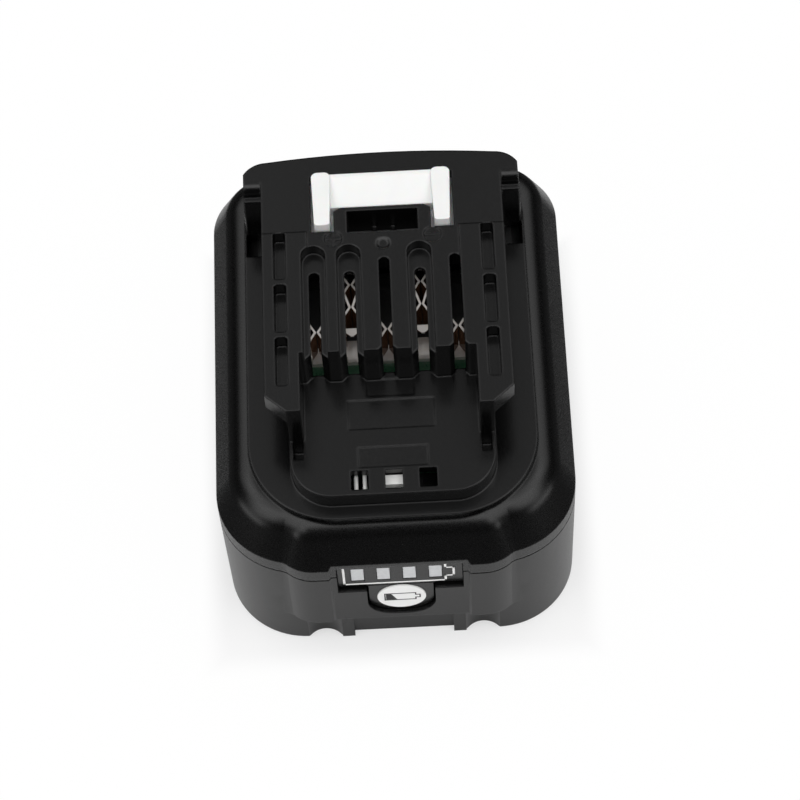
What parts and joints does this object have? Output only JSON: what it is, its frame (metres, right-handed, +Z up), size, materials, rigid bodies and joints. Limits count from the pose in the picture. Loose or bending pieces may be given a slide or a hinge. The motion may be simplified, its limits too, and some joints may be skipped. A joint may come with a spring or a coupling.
{
  "type": "power tool battery pack",
  "caption": "Slide-on rechargeable battery pack for hand power tools, with T-rails, slotted terminals, a sprung release latch and a charge gauge with a check button.",
  "frame": {"origin": "on the ground under the middle of the pack", "axes": "+Z up, +Y towards the release button at the back, -Y towards the charge gauge, +X to the right seen from the gauge"},
  "size_m": [0.066, 0.0844, 0.0585],
  "materials": {
    "housing_black": "fine grained moulded plastic",
    "trim_black": "smooth satin plastic",
    "inner_black": "plain moulded plastic",
    "latch_white": "smooth acetal",
    "print_white": "printed",
    "lens": "frosted",
    "nylon_white": "moulded nylon",
    "wire_white": "smooth insulation",
    "board_green": "solder mask",
    "contact_copper": "tinned copper",
    "spring_steel": "drawn wire",
    "screw_steel": "dark plated",
    "nickel": "rolled nickel",
    "cell_sleeve": "shrink sleeve over a steel can",
    "paper": "insulating paper"
  },
  "bodies": {
    "pack": {"upper_housing": "housing_black", "lower_housing": "housing_black", "spring_seat": "inner_black", "latch_spring_left": "spring_steel", "latch_spring_right": "spring_steel", "gauge_bezel": "trim_black", "gauge_lens": "lens", "gauge_board": "board_green", "gauge_leds": "nylon_white", "switch_body": "spring_steel", "main_board": "board_green", "board_chips": "inner_black", "terminal_carrier": "inner_black", "contact_1": "contact_copper", "contact_2": "contact_copper", "contact_3": "contact_copper", "contact_4": "contact_copper", "contact_5": "contact_copper", "board_socket": "nylon_white", "gauge_lead": "wire_white", "thermistor": "inner_black", "cell_1": "cell_sleeve", "cell_2": "cell_sleeve", "cell_3": "cell_sleeve", "cell_4": "cell_sleeve", "cell_5": "cell_sleeve", "cell_6": "cell_sleeve", "cell_holder_front": "inner_black", "cell_holder_rear": "inner_black", "strip_negative": "nickel", "strip_link_front": "nickel", "strip_link_rear": "nickel", "strip_positive": "nickel", "insulator_front": "paper", "insulator_rear": "paper", "housing_screw_1": "screw_steel", "housing_screw_2": "screw_steel", "housing_screw_3": "screw_steel", "housing_screw_4": "screw_steel", "board_screw_1": "screw_steel", "board_screw_2": "screw_steel"},
    "latch": {"latch_hook": "latch_white", "release_button": "trim_black"},
    "button": {"check_button": "trim_black", "button_disc": "print_white"},
    "plunger": {"switch_plunger": "inner_black"}
  },
  "joints": [
    {"name": "latch_slide", "type": "slide", "parent": "pack", "child": "latch", "axis": [0, 0, -1], "range_m": [0, 0.0036], "stiffness_N_per_m": 1200, "springref_m": -0.002, "deforming": ["latch_spring_left", "latch_spring_right"]},
    {"name": "button_press", "type": "slide", "parent": "pack", "child": "button", "axis": [0, 1, 0], "range_m": [0, 0.0004], "stiffness_N_per_m": 2500, "springref_m": -0.0002},
    {"name": "plunger_press", "type": "slide", "parent": "pack", "child": "plunger", "axis": [0, 1, 0], "range_m": [0, 0.0004]}
  ],
  "couplings": [
    {"joint": "plunger_press", "follows": "button_press", "ratio": 1}
  ]
}
